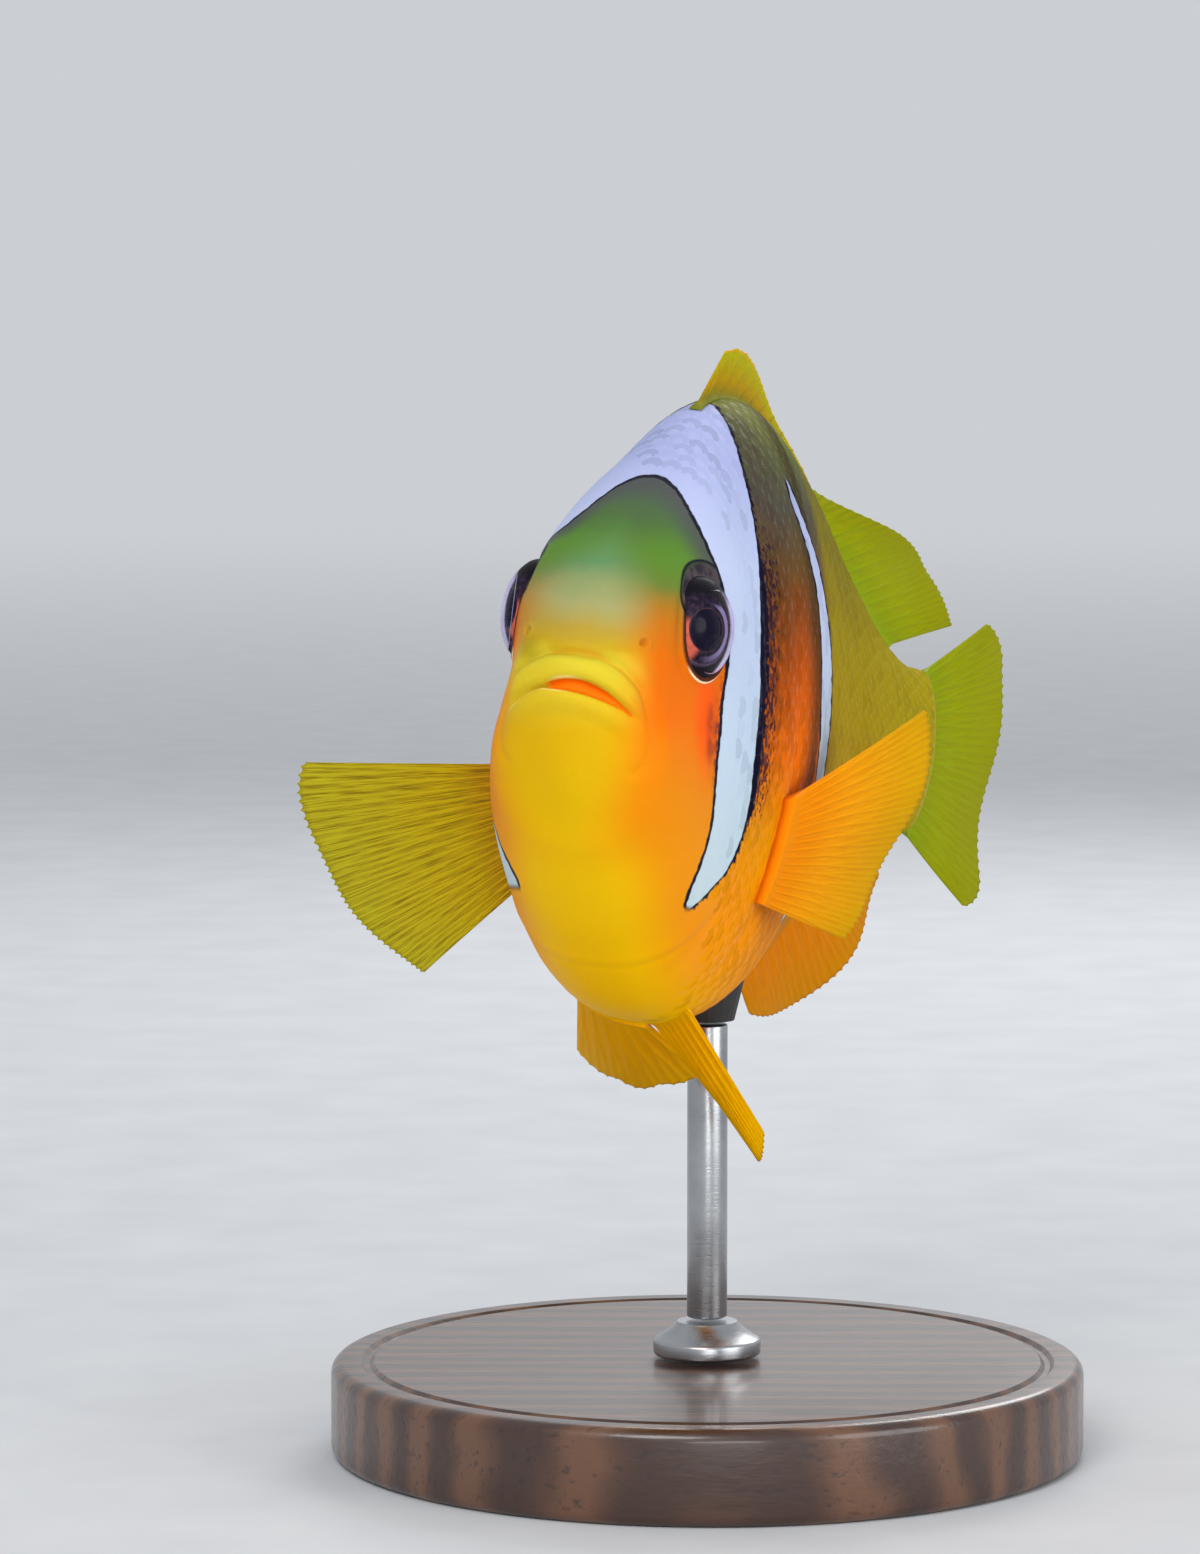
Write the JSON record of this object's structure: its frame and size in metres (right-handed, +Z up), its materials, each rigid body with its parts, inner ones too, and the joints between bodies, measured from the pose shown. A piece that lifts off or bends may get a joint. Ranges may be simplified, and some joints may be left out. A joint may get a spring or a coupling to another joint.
{
  "type": "clownfish",
  "caption": "Life-size still model of a two-banded clownfish, swimming towards the viewer with its fins spread, on a round base and a short rod.",
  "frame": {"origin": "middle of the stand's underside", "axes": "+Z up; the fish faces about -Y, turned and pitched a little, with its tail towards +Y; +X is roughly its left"},
  "size_m": [0.0582, 0.102, 0.0822],
  "materials": {
    "head_skin": "moist scaled skin, orange-yellow with a dark brow and a pale bar",
    "lip_skin": "smooth soft lip",
    "body_skin": "moist scaled skin, orange flanks, dark back and a pale bar",
    "rear_skin": "moist scaled skin, yellow to olive",
    "fin": "thin membrane over branching rays, yellow",
    "eye": "clear wet dome over a dark pupil",
    "stand_wood": "oiled dark wood",
    "stand_steel": "fine turned steel",
    "stand_rubber": "soft black rubber"
  },
  "bodies": {
    "root": {"head": "head_skin", "lower_jaw": "head_skin", "upper_lip": "lip_skin", "gill_cover_left": "head_skin", "gill_cover_right": "head_skin", "eye_left": "eye", "eye_right": "eye", "trunk": "body_skin", "tail_stalk": "rear_skin", "dorsal_fin_spines": "fin", "dorsal_fin_rays": "fin", "anal_fin": "fin", "tail_fin": "fin", "pectoral_fin_left": "fin", "pectoral_fin_right": "fin", "pelvic_fin_left": "fin", "pelvic_fin_right": "fin", "stand_base": "stand_wood", "stand_collar": "stand_steel", "stand_rod": "stand_steel", "stand_pad": "stand_rubber"}
  },
  "joints": []
}
